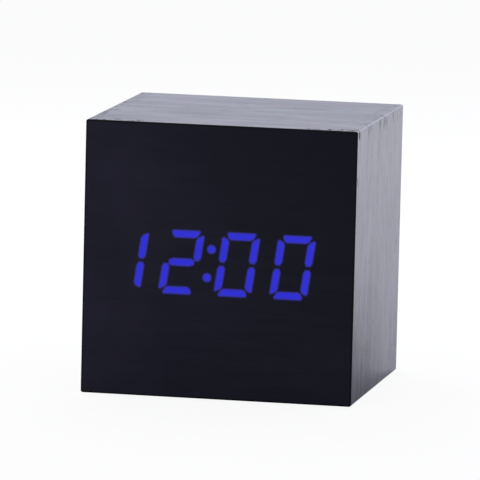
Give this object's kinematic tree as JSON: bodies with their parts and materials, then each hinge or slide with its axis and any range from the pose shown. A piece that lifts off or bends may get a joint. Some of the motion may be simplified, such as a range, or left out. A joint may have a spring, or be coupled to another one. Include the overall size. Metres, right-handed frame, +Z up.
{
  "type": "digital alarm clock",
  "caption": "Cube-shaped veneered wooden alarm clock with a glowing seven-segment time display, rear keys, battery bay with hinged door and power socket.",
  "frame": {"origin": "middle of the clock's footprint, on the surface it stands on, halfway between the display face and the rear edge of the case", "axes": "+Z up, +Y from the display face towards the rear, +X to the right seen from the front"},
  "size_m": [0.062, 0.057, 0.062],
  "materials": {
    "case_veneer": "satin black-stained veneer with fine straight grain",
    "face_veneer": "very dark stained veneer, low sheen",
    "fibreboard": "raw fibreboard painted black at its edges",
    "corner_wood": "plain sawn softwood",
    "lit_blue": "glowing blue",
    "clear_resin": "milky cast resin",
    "black_plastic": "fine moulded texture",
    "key_plastic": "smooth satin",
    "plunger_plastic": "smooth",
    "switch_plastic": "smooth",
    "green_board": "glass board with solder mask",
    "chip_plastic": "moulded epoxy",
    "diode": "small cast diode",
    "header_plastic": "natural nylon",
    "tinned_metal": "tinned",
    "capacitor_sleeve": "dark printed sleeve left plain",
    "plated_steel": "nickel plated",
    "screw_steel": "dark zinc",
    "cell_jacket": "plain printed film jacket",
    "red_wire": "insulated lead",
    "black_wire": "insulated lead",
    "ribbon": "flat ribbon lead"
  },
  "bodies": {
    "root": {"top_veneer": "case_veneer", "bottom_veneer": "case_veneer", "left_veneer": "case_veneer", "right_veneer": "case_veneer", "front_veneer": "face_veneer", "top_board": "fibreboard", "bottom_board": "fibreboard", "left_board": "fibreboard", "right_board": "fibreboard", "front_board": "fibreboard", "corner_blocks": "corner_wood", "lit_hour_tens": "lit_blue", "lit_hour_units": "lit_blue", "lit_colon": "lit_blue", "lit_minute_tens": "lit_blue", "lit_minute_units": "lit_blue", "segment_light_pipes": "clear_resin", "display_housing": "black_plastic", "rear_cover": "black_plastic", "power_socket": "black_plastic", "buzzer": "black_plastic", "switch_bodies": "switch_plastic", "main_board": "green_board", "key_board": "green_board", "display_base": "green_board", "clock_chip": "chip_plastic", "digit_drivers": "chip_plastic", "segment_resistors": "chip_plastic", "segment_diodes": "diode", "board_headers": "header_plastic", "board_spacers": "header_plastic", "display_pins": "tinned_metal", "clock_chip_legs": "tinned_metal", "crystal": "tinned_metal", "capacitor": "capacitor_sleeve", "positive_contact": "plated_steel", "lower_link_contact": "plated_steel", "upper_link_contact": "plated_steel", "negative_contact": "plated_steel", "power_socket_pin": "plated_steel", "board_screws": "screw_steel", "key_board_screws": "screw_steel", "rear_cover_screws": "screw_steel", "battery_1": "cell_jacket", "battery_2": "cell_jacket", "battery_3": "cell_jacket", "red_battery_lead": "red_wire", "black_battery_lead": "black_wire", "key_ribbon": "ribbon"},
    "battery_door": {"battery_door": "black_plastic"},
    "set_key": {"set_button": "key_plastic", "set_switch_plunger": "plunger_plastic"},
    "up_key": {"up_button": "key_plastic", "up_switch_plunger": "plunger_plastic"},
    "down_key": {"down_button": "key_plastic", "down_switch_plunger": "plunger_plastic"}
  },
  "joints": [
    {"name": "battery_door_hinge", "type": "hinge", "parent": "root", "child": "battery_door", "pos_m": [0, 0.0261, 0.0106], "axis": [-1, 0, 0], "range_deg": [0, 90]},
    {"name": "set_key_press", "type": "slide", "parent": "root", "child": "set_key", "axis": [0, -1, 0], "range_m": [0, 0.00035], "stiffness_N_per_m": 5700},
    {"name": "up_key_press", "type": "slide", "parent": "root", "child": "up_key", "axis": [0, -1, 0], "range_m": [0, 0.00035], "stiffness_N_per_m": 5700},
    {"name": "down_key_press", "type": "slide", "parent": "root", "child": "down_key", "axis": [0, -1, 0], "range_m": [0, 0.00035], "stiffness_N_per_m": 5700}
  ]
}
